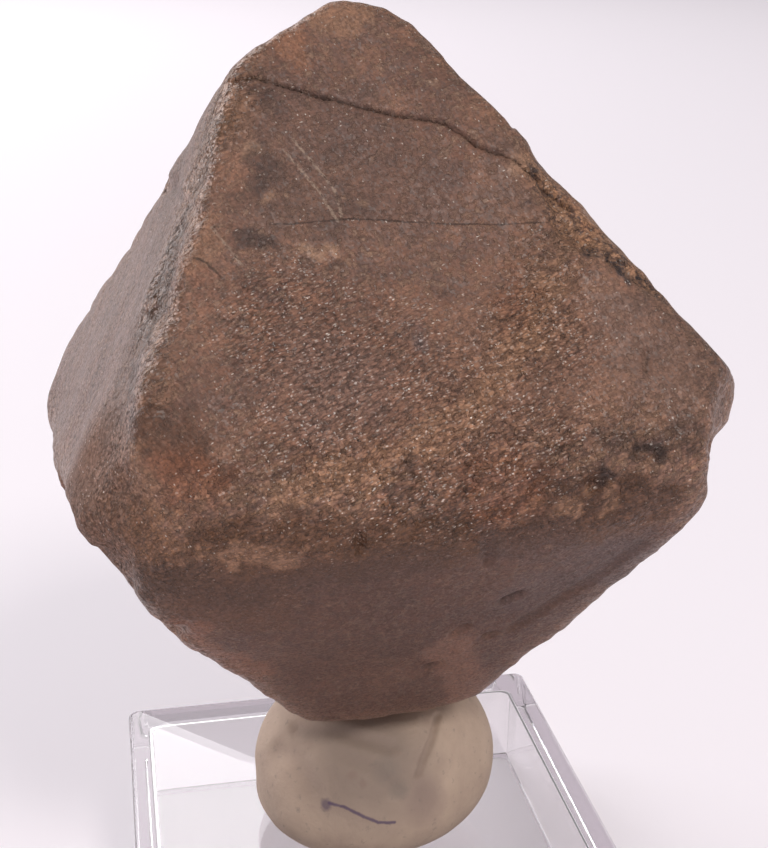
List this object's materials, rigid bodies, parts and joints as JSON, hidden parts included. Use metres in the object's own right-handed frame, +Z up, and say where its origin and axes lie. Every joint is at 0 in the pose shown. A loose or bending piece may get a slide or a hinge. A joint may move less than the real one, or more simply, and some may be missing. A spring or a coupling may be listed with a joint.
{
  "type": "pyrochlore crystal specimen on a stand",
  "caption": "Worn brown octahedral pyrochlore crystal with an open crack, held upright by a lump of putty on a square clear plastic stand that is open below.",
  "frame": {"origin": "middle of the whole specimen's bounding box, at the level that the stand rests on", "axes": "+Z up, the longest extent; X and Y lie along the stand's sides, and the pictured side faces -Y, a little to the left"},
  "size_m": [0.031, 0.0294, 0.0496],
  "materials": {
    "pyrochlore": "dull to slightly resinous brown crystal skin with a fine felted grain and small glints",
    "mineral_putty": "matte beige-grey putty with fine specks",
    "clear_plastic": "clear moulded plastic, polished"
  },
  "bodies": {
    "root": {"pyrochlore_crystal": "pyrochlore", "putty": "mineral_putty", "display_base": "clear_plastic"}
  },
  "joints": []
}
